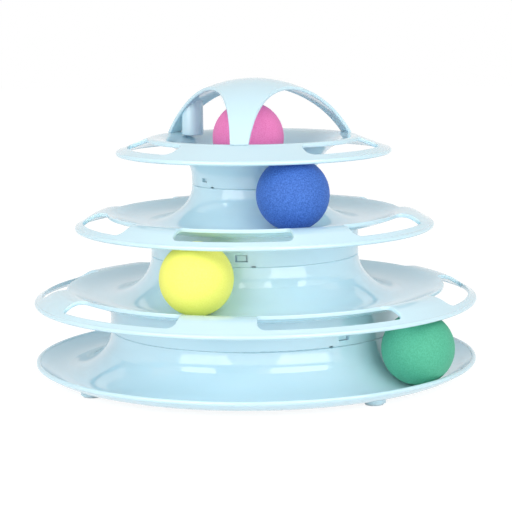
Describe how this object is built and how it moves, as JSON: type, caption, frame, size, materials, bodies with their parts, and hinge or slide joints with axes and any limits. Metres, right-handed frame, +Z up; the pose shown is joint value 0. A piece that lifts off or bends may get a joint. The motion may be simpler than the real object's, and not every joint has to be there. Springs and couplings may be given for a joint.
{
  "type": "cat ball track toy",
  "caption": "Round tiered cat toy: slotted ring tracks stacked into a tower by twist locks, a foam ball rolling round each, and an open dome cage over the cup of the top dish.",
  "frame": {"origin": "centre of the footprint on the ground, under the foot pads", "axes": "+Z up along the tower's axis; -Y towards the front, where one leg of the dome stands"},
  "size_m": [0.25, 0.25, 0.1671],
  "materials": {
    "shell": "glossy moulded plastic",
    "green_foam": "matt foam",
    "yellow_foam": "matt foam",
    "blue_foam": "matt foam",
    "pink_foam": "matt foam",
    "pad_rubber": "soft matt rubber"
  },
  "bodies": {
    "base": {"base_dish": "shell", "foot_pad_1": "pad_rubber", "foot_pad_2": "pad_rubber", "foot_pad_3": "pad_rubber", "foot_pad_4": "pad_rubber"},
    "lower_tier": {"lower_track": "shell"},
    "middle_tier": {"middle_track": "shell"},
    "top_tier": {"top_dish": "shell", "dome_cage": "shell"},
    "green_roller": {"green_ball": "green_foam"},
    "yellow_roller": {"yellow_ball": "yellow_foam"},
    "blue_roller": {"blue_ball": "blue_foam"},
    "pink_roller": {"pink_ball": "pink_foam"}
  },
  "joints": [
    {"name": "lower_twist", "type": "hinge", "parent": "base", "child": "lower_tier", "pos_m": [0, 0, 0.0271], "axis": [0, 0, 1], "range_deg": [0, 5.8]},
    {"name": "middle_twist", "type": "hinge", "parent": "lower_tier", "child": "middle_tier", "pos_m": [0, 0, 0.0686], "axis": [0, 0, 1], "range_deg": [-6.4, 0]},
    {"name": "top_twist", "type": "hinge", "parent": "middle_tier", "child": "top_tier", "pos_m": [0, 0, 0.108], "axis": [0, 0, 1], "range_deg": [-10, 0]},
    {"name": "green_orbit", "type": "hinge", "parent": "base", "child": "green_roller", "pos_m": [0, 0, 0.0246], "axis": [0, 0, 1], "continuous": true},
    {"name": "yellow_orbit", "type": "hinge", "parent": "lower_tier", "child": "yellow_roller", "pos_m": [0, 0, 0.0662], "axis": [0, 0, 1], "continuous": true},
    {"name": "blue_orbit", "type": "hinge", "parent": "middle_tier", "child": "blue_roller", "pos_m": [0, 0, 0.1076], "axis": [0, 0, 1], "continuous": true},
    {"name": "pink_orbit", "type": "hinge", "parent": "top_tier", "child": "pink_roller", "pos_m": [0, 0, 0.135], "axis": [0, 0, 1], "continuous": true}
  ]
}
